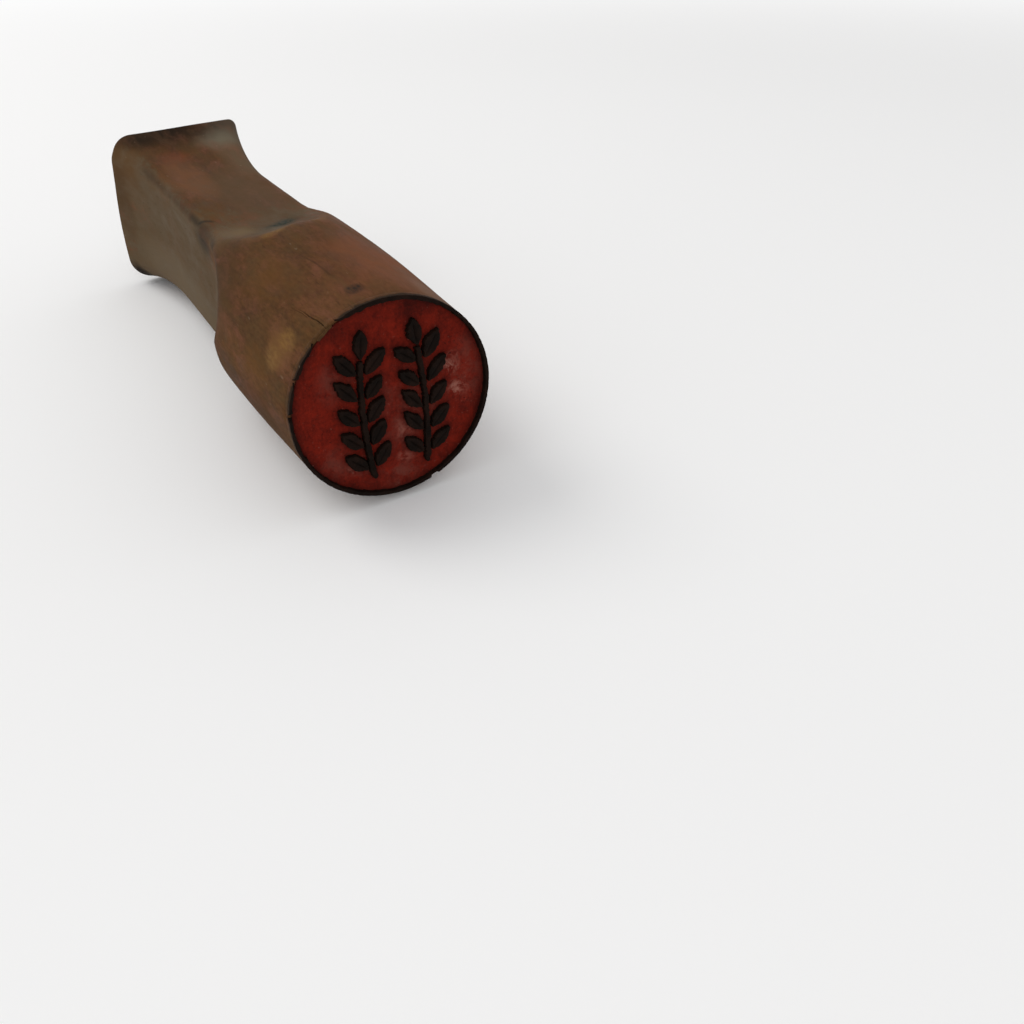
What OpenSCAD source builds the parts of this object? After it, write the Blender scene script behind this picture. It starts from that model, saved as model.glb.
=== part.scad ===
// Wooden hand stamp with a scooped grip, lying on its side.
// It is drawn standing on its grip end, printing face up, and then laid down along Y.

/* [Barrel] */
// Overall length, from the grip end to the printing plane
stamp_l = 136; // [122:1:160]
// Diameter of the printing face
face_d = 36; // [32:0.5:37]
// Diameter of the barrel at its belly
belly_d = 38.8; // [37.6:0.2:42]
// Distance from the printing plane back to the belly
belly_back = 43.5; // [30:0.5:48]

/* [Grip] */
// Width of the grip end
grip_w = 35.4; // [29:0.2:38]
// Height of the grip end
grip_h = 37.8; // [31:0.2:38]
// Width across the waist
waist_w = 25.4; // [21:0.2:26]
// Height across the waist
waist_h = 27; // [21:0.2:27.4]
// Length of the flare, from the grip end to the straight waist
flare_l = 39.5; // [32:0.5:46]
// Length of the straight waist
waist_l = 30; // [22:1:36]
// Radius of the scoops that run from the waist up to the barrel
scoop_r = 66; // [48:1:76]
// Width of the worn flat along each ridge of the grip
ridge_flat = 2; // [0.6:0.2:4]
// Rounding of the edges round the grip end
end_round = 2; // [0.5:0.25:4]

/* [Die] */
// Thickness of the red plate
plate_t = 0.8; // [0.6:0.1:2]
// Height of the border and the marks above the plate
relief_h = 1; // [0.6:0.1:1.6]
// Width of the border
rim_w = 0.7; // [0.5:0.1:1.6]
// Clearance between the plate and the border round it
plate_gap = 0.05; // [0.02:0.01:0.2]

/* [Border wear] */
// Angle of the notch that parts the border at the lower right
notch_at = -70; // [-80:1:-60]
// Angle that the notch takes up
notch_turn = 4; // [2:0.5:8]
// Angle where the worn stretch starts, at the crack in the barrel
worn_from = 118; // [105:1:130]
// Angle where the worn stretch ends
worn_to = 172; // [160:1:178]
// Number of short arcs left in the worn stretch
worn_count = 3; // [2:1:5]
// Angle of each gap beside the short arcs
worn_gap = 3; // [1:0.5:5]
// Depth of the short arcs below the printing plane
worn_drop = 0.3; // [0.1:0.1:0.5]
// Width of the short arcs
worn_w = 0.5; // [0.3:0.1:0.9]

/* [Sprigs] */
// Distance between the two stems
stem_gap = 11.4; // [10:0.2:13]
// Width of a stem
stem_w = 1; // [0.7:0.1:1.6]
// Length of a stem
stem_l = 22; // [17:0.5:24]
// Radius of a stem's bend
stem_bend = 90; // [70:5:140]
// Number of leaf pairs on a stem
leaf_pairs = 5; // [3:1:6]
// Length of a leaf
leaf_l = 4.8; // [3.6:0.2:5.4]
// Width of a leaf
leaf_w = 2.3; // [1.6:0.1:2.8]
// Angle between a leaf and its stem
leaf_turn = 42; // [30:1:60]
// Clearance between a leaf and its stem
leaf_gap = 0.35; // [0.2:0.05:0.8]

/* [Hidden] */
$fn = 96;

full_turn = 360;
large_arc_fn = 720;
// Overlap of solids that are joined, and overrun of cutters
lap = 1;

rim_h = plate_t + relief_h;
wood_top = stamp_l - rim_h;
waist_top = flare_l + waist_l;
belly_z = stamp_l - belly_back;
face_r = face_d / 2;
belly_r = belly_d / 2;
// Swell from the face to the belly, less than nothing where the barrel is drawn in instead
belly_swell = belly_r - face_r;
// Smallest swell that the arc of a straight barrel is drawn with
least_swell = 0.01;
belly_arc_r = arc_radius(wood_top - belly_z, max(abs(belly_swell), least_swell));
// Height of the axis above the ground that the stamp lies on
axis_up = max(belly_d, grip_h) / 2;

// Half sizes across the corners of the grip, less what the worn flat takes off
ridge_waist = (waist_w + waist_h) / 2 / sqrt(2) - ridge_flat / 2;
ridge_end = (grip_w + grip_h) / 2 / sqrt(2) - ridge_flat / 2;

stem_turn = full_turn * stem_l / (2 * PI * stem_bend);
leaf_step = stem_turn / leaf_pairs;
// Distance from a stem's middle line to the near tip of a leaf
leaf_root = stem_w / 2 + leaf_gap;
// Drop of the stem's middle that centres the whole sprig on the plate
stem_drop = (leaf_gap + leaf_l) / 2;

wood_brown = "#5E4430";
plate_red = "#7A2217";
ink_black = "#1D1B18";

// Radius of an arc that leaves a line tangentially and has risen by rise after run
function arc_radius(run, rise) = (run * run + rise * rise) / (2 * rise);

// Lays the upright drawing down on the ground, with the printing face towards -Y
module lay_down() {
    translate([0, stamp_l / 2, axis_up])
        rotate([90, 0, 0])
            children();
}

// Outline of the wood that the barrel is turned from, from the waist up to the die
module barrel_blank() {
    translate([0, waist_top - lap])
        square([belly_d, wood_top - waist_top + lap]);
}

// Turned barrel with a slight belly, or drawn in where the belly is narrower than the face
module barrel() {
    rotate_extrude()
        if (belly_swell > 0)
            intersection() {
                barrel_blank();
                translate([belly_r - belly_arc_r, belly_z])
                    circle(r = belly_arc_r, $fn = large_arc_fn);
            }
        else
            difference() {
                barrel_blank();
                translate([belly_r + belly_arc_r, belly_z])
                    circle(r = belly_arc_r, $fn = large_arc_fn);
            }
}

// Square block that the grip is cut from
module grip_block() {
    translate([-grip_w / 2, -grip_h / 2, 0])
        cube([grip_w, grip_h, waist_top]);
}

// Outline of the wood that is cut away on one side: a flare, the straight waist and a scoop.
// The outline's x runs out from the stamp's axis, and its y runs up from the grip end.
module scoop_outline(half_waist, half_end, front_r) {
    flare_r = arc_radius(flare_l, half_end - half_waist);
    // Centre of the edge rounding, which touches the grip end and the flare
    round_x = half_waist + flare_r - sqrt(pow(flare_r + end_round, 2) - pow(flare_l - end_round, 2));
    round_top = end_round + end_round * (flare_l - end_round) / (flare_r + end_round);

    translate([half_waist + front_r, waist_top])
        circle(r = front_r, $fn = large_arc_fn);
    translate([half_waist, flare_l])
        square([front_r, waist_l]);
    translate([half_waist + flare_r, flare_l])
        circle(r = flare_r, $fn = large_arc_fn);
    difference() {
        translate([round_x, -lap])
            square([half_end - round_x + lap, round_top + lap]);
        translate([round_x, end_round])
            circle(r = end_round);
    }
}

// Cutter for one side, long enough to cross the whole stamp
module scoop(half_waist, half_end, front_r) {
    rotate([90, 0, 0])
        linear_extrude(height = grip_w + grip_h, center = true)
            scoop_outline(half_waist, half_end, front_r);
}

// Turned and carved handle: round barrel, four scoops, a square waist and a flared grip end
module handle() {
    color(wood_brown)
        lay_down()
            difference() {
                union() {
                    barrel();
                    grip_block();
                }
                for (side = [0, 180])
                    rotate([0, 0, side])
                        scoop(waist_w / 2, grip_w / 2, scoop_r);
                for (side = [90, 270])
                    rotate([0, 0, side])
                        scoop(waist_h / 2, grip_h / 2, scoop_r);
                for (ridge = [45 : 90 : 315])
                    rotate([0, 0, ridge])
                        scoop(ridge_waist, ridge_end, scoop_r / sqrt(2));
            }
}

// Red plate on the end of the barrel, inside the border
module die_plate() {
    color(plate_red)
        lay_down()
            translate([0, 0, wood_top])
                cylinder(r = face_r - rim_w - plate_gap, h = plate_t);
}

// Part of the border between two angles, seen from the front
module border_arc(from, to, width, height) {
    translate([0, 0, wood_top])
        rotate([0, 0, from])
            rotate_extrude(angle = to - from)
                translate([face_r - width, 0])
                    square([width, height]);
}

// Border from the notch round the right side and over the top, as far as the crack
module rim_main_arc() {
    color(ink_black)
        lay_down()
            border_arc(notch_at + notch_turn / 2, worn_from - worn_gap / 2, rim_w, rim_h);
}

// Border from the worn stretch round under the face, as far as the notch
module rim_lower_arc() {
    color(ink_black)
        lay_down()
            border_arc(worn_to + worn_gap / 2, full_turn + notch_at - notch_turn / 2, rim_w, rim_h);
}

// Short arcs left where the border is worn low and broken
module rim_worn_arcs() {
    step = (worn_to - worn_from) / worn_count;
    color(ink_black)
        lay_down()
            for (i = [0 : worn_count - 1])
                border_arc(
                    worn_from + i * step + worn_gap / 2,
                    worn_from + (i + 1) * step - worn_gap / 2,
                    worn_w,
                    rim_h - worn_drop
                );
}

// Places its children on the left stem's line, at an angle along the bend from the stem's middle
module along_stem(turn) {
    translate([stem_bend - stem_gap / 2, -stem_drop, stamp_l - relief_h])
        rotate([0, 0, -turn])
            translate([-stem_bend, 0, 0])
                children();
}

// Pointed leaf that starts at the origin and runs along +Y
module leaf() {
    leaf_r = arc_radius(leaf_l / 2, leaf_w / 2);
    linear_extrude(height = relief_h)
        translate([0, leaf_l / 2])
            intersection_for (side = [-1, 1])
                translate([side * (leaf_r - leaf_w / 2), 0])
                    circle(r = leaf_r);
}

// Stem of the left sprig, bent outward
module stem() {
    translate([stem_bend - stem_gap / 2, -stem_drop, stamp_l - relief_h])
        rotate([0, 0, 180 - stem_turn / 2])
            rotate_extrude(angle = stem_turn, $fn = large_arc_fn)
                translate([stem_bend - stem_w / 2, 0])
                    square([stem_w, relief_h]);
}

// Leaves of the left sprig: pairs along the stem, and one at its tip
module leaves() {
    for (i = [0 : leaf_pairs - 1])
        for (side = [-1, 1])
            along_stem(-stem_turn / 2 + (i + 0.5) * leaf_step)
                translate([side * leaf_root, 0, 0])
                    rotate([0, 0, -side * leaf_turn])
                        leaf();
    along_stem(stem_turn / 2)
        translate([0, leaf_gap, 0])
            leaf();
}

module left_stem() {
    color(ink_black)
        lay_down()
            stem();
}

module left_leaves() {
    color(ink_black)
        lay_down()
            leaves();
}

module right_stem() {
    color(ink_black)
        lay_down()
            mirror([1, 0, 0])
                stem();
}

module right_leaves() {
    color(ink_black)
        lay_down()
            mirror([1, 0, 0])
                leaves();
}

handle();
die_plate();
rim_main_arc();
rim_lower_arc();
rim_worn_arcs();
left_stem();
left_leaves();
right_stem();
right_leaves();
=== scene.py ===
import math
from functools import partial

import bmesh
import bpy
import numpy as np
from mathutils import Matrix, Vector, kdtree, noise


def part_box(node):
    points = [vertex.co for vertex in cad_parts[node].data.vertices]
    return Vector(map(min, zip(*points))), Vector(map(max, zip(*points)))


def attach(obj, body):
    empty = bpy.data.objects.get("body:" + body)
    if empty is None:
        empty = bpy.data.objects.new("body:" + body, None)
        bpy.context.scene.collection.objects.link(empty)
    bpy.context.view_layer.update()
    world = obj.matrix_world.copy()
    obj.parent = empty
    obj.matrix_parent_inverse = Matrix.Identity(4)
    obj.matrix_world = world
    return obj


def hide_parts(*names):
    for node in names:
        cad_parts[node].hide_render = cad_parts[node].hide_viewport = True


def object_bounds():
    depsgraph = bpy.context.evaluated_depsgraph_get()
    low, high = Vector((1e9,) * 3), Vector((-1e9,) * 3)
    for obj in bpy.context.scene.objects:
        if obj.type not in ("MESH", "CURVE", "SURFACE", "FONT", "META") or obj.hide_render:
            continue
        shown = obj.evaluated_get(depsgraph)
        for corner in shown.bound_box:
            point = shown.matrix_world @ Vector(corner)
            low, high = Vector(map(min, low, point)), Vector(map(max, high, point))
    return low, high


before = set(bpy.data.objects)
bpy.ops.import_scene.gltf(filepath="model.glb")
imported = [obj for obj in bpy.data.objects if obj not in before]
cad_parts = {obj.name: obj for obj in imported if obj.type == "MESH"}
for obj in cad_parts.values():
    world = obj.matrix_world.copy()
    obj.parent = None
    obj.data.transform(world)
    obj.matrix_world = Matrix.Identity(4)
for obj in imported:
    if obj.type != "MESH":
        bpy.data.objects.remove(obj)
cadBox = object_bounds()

# Shapes are worked out in mm. The stamp lies along Y; "depth" is the way back from the printing plane.
mm = 0.001
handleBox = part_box("handle")
printPlane = cadBox[0].y / mm
stampLength = (cadBox[1].y - cadBox[0].y) / mm
axisUp = (handleBox[0].z + handleBox[1].z) / 2 / mm
rimDepth = (handleBox[0].y - cadBox[0].y) / mm
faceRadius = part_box("rim_main_arc")[1].x / mm
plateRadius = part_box("die_plate")[1].x / mm
bellyRadius = axisUp
print("frame loaded:", len(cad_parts), "nodes, length", round(stampLength, 2), "mm")


def hexToLinear(code):
    parts = [int(code[i:i + 2], 16) / 255 for i in (1, 3, 5)]
    linear = [c / 12.92 if c <= 0.04045 else ((c + 0.055) / 1.055) ** 2.4 for c in parts]
    return (*linear, 1.0)


# Kinds of node in common use, and the setting of a range that eases in and out
mathNode, vectorNode = "ShaderNodeMath", "ShaderNodeVectorMath"
rangeNode, noiseNode = "ShaderNodeMapRange", "ShaderNodeTexNoise"
soft = {"interpolation_type": "SMOOTHSTEP"}


# inputs go by name or by place; those of a range are the value, from low, from high, to low and to high.
# An input may be a value, a socket, or a node, which stands for the first of its outputs in use.
def addNode(tree, kind, inputs=(), **settings):
    node = tree.nodes.new(kind)
    for name, value in settings.items():
        setattr(node, name, value)
    for name, value in inputs.items() if isinstance(inputs, dict) else enumerate(inputs):
        if isinstance(value, bpy.types.Node):
            value = next(output for output in value.outputs if output.enabled)
        if isinstance(value, bpy.types.NodeSocket):
            tree.links.new(value, node.inputs[name])
        else:
            node.inputs[name].default_value = value
    return node


# Makes an owner's node tree and returns addNode for it
def newTree(owner):
    owner.use_nodes = True
    owner.node_tree.nodes.clear()
    return partial(addNode, owner.node_tree)


# Returns the material, addNode for its tree, and the place on the surface in mm or another unit
def newMaterial(name, unit=mm):
    material = bpy.data.materials.new(name)
    add = newTree(material)
    place = add("ShaderNodeTexCoord").outputs["Object"]
    return material, add, add(vectorNode, {0: place, "Scale": 1 / unit}, operation="SCALE")


# Soft noise about zero, which shifts places to give marks uneven edges
def strayAbout(add, place, size):
    wander = add(noiseNode, {"Vector": place, "Scale": 1 / size, "Detail": 4.0})
    return add(vectorNode, [wander.outputs["Color"], (0.5, 0.5, 0.5)], operation="SUBTRACT")


# How strongly a mark shows: full as far as edge, a share of its reach, and gone at its reach
def fadeAround(add, place, at, reach, edge, strength):
    away = add(vectorNode, [place, at], operation="SUBTRACT")
    scaled = add(vectorNode, [away, reach], operation="DIVIDE")
    far = add(vectorNode, [scaled], operation="LENGTH")
    return add(rangeNode, [far, edge, 1.0, strength, 0.0], **soft)


# Lays colours over the first one, each by the product of its factors, and adds gloss and fine relief
def finishMaterial(add, spec, first, layers, patches, height):
    colour = hexToLinear(first)
    for code, factor, *others in layers:
        for other in others:
            factor = add(mathNode, [factor, other], operation="MULTIPLY")
        colour = add("ShaderNodeMix", {0: factor, 6: colour, 7: hexToLinear(code)}, data_type="RGBA")
    least, most = spec["roughness"]
    shine = add(rangeNode, [patches, 0.3, 0.7, least, most])
    strength, distance = spec["bump"]
    bump = add("ShaderNodeBump", {"Strength": strength, "Distance": distance * mm, "Height": height})
    shader = add("ShaderNodeBsdfPrincipled", {
        "Base Color": colour, "Roughness": shine, "IOR": spec["ior"], "Specular IOR Level": spec["specular"],
        "Normal": bump})
    add("ShaderNodeOutputMaterial", {"Surface": shader})


def smoothStep(low, high, value):
    t = np.clip((value - low) / (high - low), 0, 1)
    return t * t * (3 - 2 * t)


def arcRadius(run, rise):
    return (run * run + rise * rise) / (2 * rise)


# Degrees brought to between -180 and 180
def wrapped(degrees):
    return (degrees + 180) % 360 - 180


# The value at an angle round the stamp, from a table by degrees
def byAngle(degrees, table):
    return np.interp(wrapped(degrees), list(table), list(table.values()))


# Soft noise at each point, from -1 to 1; size is the spacing of its lumps in mm, for all axes or each
def ripple(points, size, seed):
    shift = Vector((17.3, 5.9, 11.1)) * seed
    return np.array([noise.noise(Vector(p) + shift) for p in np.asarray(points) / size])


# From face coordinates (right, up, depth) to the stamp's own frame
def onFace(right, up, depth):
    return np.stack([right, printPlane + depth, axisUp + up], axis=-1)


def aroundAxis(radius, angle, depth):
    return onFace(radius * np.cos(angle), radius * np.sin(angle), depth)


# Quads between neighbouring rows of points; each row is a closed ring
def ringFaces(rows, columns):
    here = np.arange(rows * columns).reshape(rows, columns)
    side = np.roll(here, -1, axis=1)
    quads = np.stack([here[:-1], here[1:], side[1:], side[:-1]], axis=-1)
    return quads.reshape(-1, 4).tolist()


# Triangles from the first and the last ring to their middles, the two points after all the rings
def hubFaces(rows, columns):
    hub, last = rows * columns, (rows - 1) * columns
    faces = []
    for j in range(columns):
        k = (j + 1) % columns
        faces += [(hub, j, k), (hub + 1, last + k, last + j)]
    return faces


def newObject(name, data):
    made = bpy.data.objects.new(name, data)
    bpy.context.collection.objects.link(made)
    return made


# finishes gives the material's number for each face where a piece has more than one
def makePiece(name, points, faces, materials, node, masks=None, finishes=None):
    mesh = bpy.data.meshes.new(name)
    mesh.from_pydata((np.asarray(points).reshape(-1, 3) * mm).tolist(), [], faces)
    # Every face is turned to look outward
    shell = bmesh.new()
    shell.from_mesh(mesh)
    bmesh.ops.recalc_face_normals(shell, faces=shell.faces)
    shell.to_mesh(mesh)
    shell.free()
    mesh.shade_smooth()
    for material in materials:
        mesh.materials.append(material)
    if finishes is not None:
        mesh.polygons.foreach_set("material_index", np.asarray(finishes, dtype=np.int32))
    for label, values in (masks or {}).items():
        layer = mesh.attributes.new(label, "FLOAT", "POINT")
        layer.data.foreach_set("value", np.asarray(values, dtype=np.float32).ravel())
    piece = newObject(name, mesh)
    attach(piece, "root")
    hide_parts(node)
    print("made", name, len(mesh.vertices), "points,", len(mesh.polygons), "faces")


# Old fine-grained hardwood, turned and then carved, darkened by years of handling.
# To the eye it is dull to satin brown and cloudy, its fine fibres barely seen, with red, grey
# and ink-stained patches.
woodSpec = {
    "dark": "#422A16",
    "light": "#604125",
    "red": "#714530",
    "pink": "#7A4B3A",
    "olive": "#4A3C22",
    "grey": "#564734",
    "pore": "#2A1B10",
    # Grime, and painted shade along the left crest
    "grimeAndShade": "#33261B",
    "rub": "#71542F",
    "endGrain": "#523A27",
    "ringDark": "#332214",
    # Ink crept on to the wood, greyed as a painted sheen on the border's outer slope
    "inkFadeAndSheen": "#1B1714",
    "dust": "#8C7A66",
    # How far patterns are drawn out across and along the grain, fibres and pores in mm
    "drawnOut": (1.0, 2.6),
    "fibreSize": (0.9, 22.0),
    "poreSize": (0.3, 3.0),
    # How far marks stray from their places, in mm: patterns, wide marks and fine marks
    "patternStray": (4.0, 4.0, 4.0),
    "wideStray": (4.0, 6.0, 4.0),
    "fineStray": (1.4, 2.0, 1.4),
    # Sizes of the patterns in mm
    "wander": 5.0,
    "cloud": 7.0,
    "blotch": 19.0,
    "tint": 4.2,
    "patch": 3.5,
    "grit": 0.55,
    "speck": 0.8,
    "ring": 1.9,
    "pith": (9.0, 0.0, 4.0),
    "ringShare": 0.3,
    "smallMark": 5.0,
    "wideLine": 1.0,
    "roughness": (0.6, 0.82),
    "bump": (0.35, 0.06),
    "ior": 1.5,
    "specular": 0.035,
}

# Marks that years of use left on the wood, with patches of painted shade and highlight: place, reach each way,
# colour, strength and edge
woodStains = {
    "ochreHigh": ((-11.0, -46.0, 34.8), (7.0, 11.0, 5.0), "#5A3C1C", 0.5, 0.35),
    "ochreLow": ((-17.6, -53.0, 24.0), (3.0, 8.0, 6.0), "#60401C", 0.45, 0.35),
    "redBarrel": ((6.0, -50.0, 36.6), (11.0, 19.0, 6.0), "#7A4A32", 0.65, 0.35),
    # Painted shade along the left crest
    "crestShade": ((-16.0, -29.0, 28.5), (7.0, 14.0, 10.0), "#463523", 0.65, 0.0),
    "lowGrime": ((-18.4, -55.0, 14.0), (4.0, 18.0, 9.0), "#432C1B", 0.6, 0.35),
    "scoopGrey": ((-1.0, -17.0, 35.0), (17.5, 18.0, 6.4), "#4A3F31", 0.7, 0.1),
    # Painted highlight where the scoop rises to the crest
    "crestHighlight": ((-7.4, -13.5, 33.8), (7.0, 12.5, 4.1), "#67543C", 0.95, 0.1),
    "topGrey": ((4.0, 14.0, 33.0), (11.0, 36.0, 4.0), "#523F2C", 0.8, 0.35),
    "facetPale": ((-14.0, 26.0, 11.0), (6.0, 46.0, 10.0), "#655744", 0.7, 0.35),
    "brownCorner": ((-13.5, 61.0, 32.0), (6.5, 14.0, 9.0), "#553D25", 0.8, 0.35),
    "paleRight": ((10.0, -63.0, 34.6), (5.0, 8.0, 4.0), "#785B49", 0.65, 0.35),
    "redTrail": ((-4.6, 34.0, 32.8), (6.5, 25.0, 4.0), "#69462F", 0.75, 0.35),
    "paleEdge": ((13.5, 43.0, 34.6), (9.5, 27.0, 7.0), "#5A4B38", 0.85, 0.35),
    "greyEdge": ((15.0, 62.0, 37.0), (11.0, 15.0, 6.0), "#4D4135", 1.0, 0.35),
    "paleBloom": ((9.6, 57.0, 36.0), (9.0, 10.0, 5.0), "#6E6554", 0.9, 0.0),
    "redPatch": ((-3.0, 49.5, 34.2), (5.5, 8.0, 4.0), "#713A24", 0.7, 0.0),
    "sideGrime": ((-17.6, 62.0, 25.0), (5.0, 9.0, 15.0), "#412C18", 0.5, 0.35),
    # Painted shade along the top edge of the grip end, on the faces that turn away from the light
    "endTopShade": ((-0.5, 66.2, 37.5), (20.5, 22.0, 5.5), "#20150B", 1.0, 0.05),
    "endTopShadeLeft": ((-8.6, 64.0, 36.8), (7.0, 10.0, 3.4), "#24180D", 1.0, 0.1),
    # Painted shade under the grip end, next to the floor
    "underEndShade": ((-16.0, 64.0, 2.5), (9.0, 7.0, 6.0), "#180E07", 1.0, 0.35),
    "rubbedWide": ((-15.0, -59.2, 29.6), (4.2, 5.2, 6.2), "#6A4B2B", 0.65, 0.35),
    "rubbedHigh": ((-13.9, -60.4, 31.3), (2.2, 3.4, 2.6), "#805E30", 0.5, 0.35),
    "rubbedLow": ((-16.2, -58.6, 28.0), (2.0, 3.6, 2.8), "#805F36", 0.5, 0.35),
    "shoulderRub": ((-4.6, -29.8, 37.9), (3.2, 3.0, 2.2), "#74552C", 0.7, 0.35),
    "facetSmudge": ((-11.6, -3.0, 30.0), (3.8, 9.0, 5.6), "#2B2821", 0.9, 0.0),
    "rightGrey": ((14.0, 22.0, 17.0), (6.0, 26.0, 10.0), "#54432F", 0.65, 0.0),
    "rightDark": ((17.5, -44.0, 12.0), (7.0, 17.0, 10.0), "#432C1B", 0.6, 0.0),
    "underGrey": ((1.0, 18.0, 5.0), (12.0, 34.0, 5.0), "#4E3F2E", 0.7, 0.0),
    "greySpot": ((-2.4, -62.2, 37.4), (1.9, 2.3, 2.0), "#221C17", 0.95, 0.35),
}

# Fine lines and strokes, cut, drawn or smeared by hand: both ends, half the width, colour and strength
woodLines = {
    "facetLong": ((0.8, 40.5, 33.4), (1.2, -14.0, 33.6), 0.17, "#2A1B10", 0.55),
    "barrelLong": ((-4.7, -41.6, 37.8), (-3.3, -57.3, 37.6), 0.14, "#2A1B10", 0.5),
    "shoulderNick": ((-6.2, -33.0, 37.6), (-3.4, -34.5, 38.3), 0.15, "#2A1B10", 0.6),
    "sideScratch": ((-18.2, -38.0, 15.0), (-19.0, -52.0, 22.0), 0.12, "#2A1B10", 0.4),
    "rightScratch": ((12.0, -33.0, 33.5), (9.0, -52.0, 35.6), 0.12, "#2A1B10", 0.4),
    "backScratch": ((13.0, 10.0, 12.0), (13.2, 30.0, 18.0), 0.14, "#2A1B10", 0.4),
    "blueHaze": ((-2.4, -20.0, 35.4), (6.5, -6.0, 33.2), 1.7, "#3A3A2E", 0.4),
    "blueInk": ((-1.2, -17.0, 34.6), (5.9, -10.0, 33.5), 1.55, "#1E2822", 1.0),
    "ridgeSmudge": ((-11.0, 9.6, 32.0), (-10.7, 1.0, 32.2), 0.6, "#2F2A22", 0.45),
    "facetDash": ((-11.2, 2.4, 32.2), (-7.9, -1.4, 32.9), 0.4, "#24211B", 0.8),
    "rightSmudge": ((10.2, -21.0, 35.8), (12.0, -25.0, 34.4), 0.5, "#2B2A25", 0.7),
    "cornerLine": ((-11.6, -9.6, 32.2), (-12.8, -16.6, 32.2), 0.6, "#29251E", 0.75),
}


def makeWood():
    spec = woodSpec
    material, add, inMm = newMaterial("oldHardwoodTurnedAndCarved")
    axes = add("ShaderNodeSeparateXYZ", [inMm])
    drawn, fibreMap, poreMap = (
        add("ShaderNodeMapping", {"Vector": inMm, "Scale": (1 / across, 1 / along, 1 / across)})
        for across, along in (spec["drawnOut"], spec["fibreSize"], spec["poreSize"]))
    centred = strayAbout(add, drawn, spec["wander"])
    bent, smeared, waver = (
        add(vectorNode, [centred, spec[stray], start], operation="MULTIPLY_ADD")
        for stray, start in (("patternStray", drawn), ("wideStray", inMm), ("fineStray", inMm)))
    patterns = {}
    for name, start, size, detail, rough in (
            ("fibre", fibreMap, 1.0, 5.0, 0.6), ("pore", poreMap, 1.0, 2.0, 0.5),
            ("grit", drawn, spec["grit"], 3.0, 0.5), ("speck", drawn, spec["speck"], 1.0, 0.5),
            ("cloud", bent, spec["cloud"], 7.0, 0.62), ("blotch", bent, spec["blotch"], 5.0, 0.6),
            ("tint", bent, spec["tint"], 8.0, 0.72), ("patch", bent, spec["patch"], 5.0, 0.6)):
        patterns[name] = add(noiseNode, {
            "Vector": start, "Scale": 1 / size, "Detail": detail, "Roughness": rough})
    masks = {label: add("ShaderNodeAttribute", attribute_name=label).outputs["Fac"]
             for label in ("greyFacet", "ridge", "shoulder", "cutEnd", "inkReach", "crack")}

    # Clouds, fibres and a grit of dirt, coarser towards the face, where no hand has rubbed it smooth
    gritShare = add(rangeNode, [axes.outputs["Y"], -26.0, -62.0, 0.4, 0.85])
    gritEven = add(mathNode, [patterns["grit"], 0.5], operation="SUBTRACT")
    tone = add(mathNode, [patterns["cloud"], 1.1], operation="MULTIPLY")
    for part, share in ((patterns["fibre"], 0.4), (gritEven, gritShare)):
        tone = add(mathNode, [part, share, tone], operation="MULTIPLY_ADD")
    toneFactor = add(rangeNode, [tone, 0.51, 1.07])
    layers = [(spec["light"], toneFactor)]

    # Blotches: redder to the right, clouded with pink and olive, greyer on the left facet
    sideways = add(rangeNode, [axes.outputs["X"], -16.0, 16.0, -0.22, 0.22])
    redAmount = add(mathNode, [patterns["blotch"], sideways])
    redFactor = add(rangeNode, [redAmount, 0.4, 0.85, 0.0, 0.65], **soft)
    layers.append((spec["red"], redFactor))
    for tint, low, high in (("pink", 0.5, 0.68), ("olive", 0.5, 0.34)):
        tintFactor = add(rangeNode, [patterns["tint"], low, high, 0.0, 0.43])
        layers.append((spec[tint], tintFactor))
    grey = masks["greyFacet"]
    for name, share in (("tint", -1.5), ("blotch", -1.0), ("grit", -0.5)):
        grey = add(mathNode, [patterns[name], share, grey], operation="MULTIPLY_ADD")
    greyReach = add(rangeNode, [grey, -1.05, -0.6], **soft)
    greyFactor = add(rangeNode, [patterns["cloud"], 0.35, 0.65, 1.0, 0.7])
    layers.append((spec["grey"], greyFactor, greyReach))

    # Pores: short dark dashes
    poreFactor = add(rangeNode, [patterns["pore"], 0.63, 0.75, 0.0, 0.4])
    layers.append((spec["pore"], poreFactor))

    # Wear from the shape: grime on the ridges and painted shade along the left crest, a pale rub on the
    # shoulder, dark end grain
    for label, tint, least, most in (("ridge", "grimeAndShade", 0.25, 0.65), ("shoulder", "rub", 0.0, 0.4),
                                     ("cutEnd", "endGrain", 0.5, 0.85)):
        breakUp = add(rangeNode, [patterns["patch"], 0.35, 0.65, least, most])
        layers.append((spec[tint], breakUp, masks[label]))

    # Growth rings on the cut end, round a pith that lies off the middle
    fromPith = add(vectorNode, [inMm, spec["pith"]], operation="SUBTRACT")
    rings = add("ShaderNodeTexWave", {
        "Vector": fromPith, "Scale": math.pi / 10 / spec["ring"], "Distortion": 7.0, "Detail": 5.0,
        "Detail Scale": 0.35}, wave_type="RINGS", rings_direction="Y")
    layers.append((spec["ringDark"], rings.outputs["Fac"], masks["cutEnd"], spec["ringShare"]))

    # Single marks with broken edges; the small ones stay sharper
    breakUp = add(rangeNode, [patterns["patch"], 0.38, 0.58, 0.6, 1.0])
    crumbs = add(rangeNode, [patterns["grit"], 0.38, 0.62, 0.4, 1.0])
    for at, reach, code, strength, edge in woodStains.values():
        small = max(reach) < spec["smallMark"]
        fade = fadeAround(add, waver if small else smeared, at, reach, edge, strength)
        layers.append((code, fade, crumbs if small else breakUp))

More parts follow.
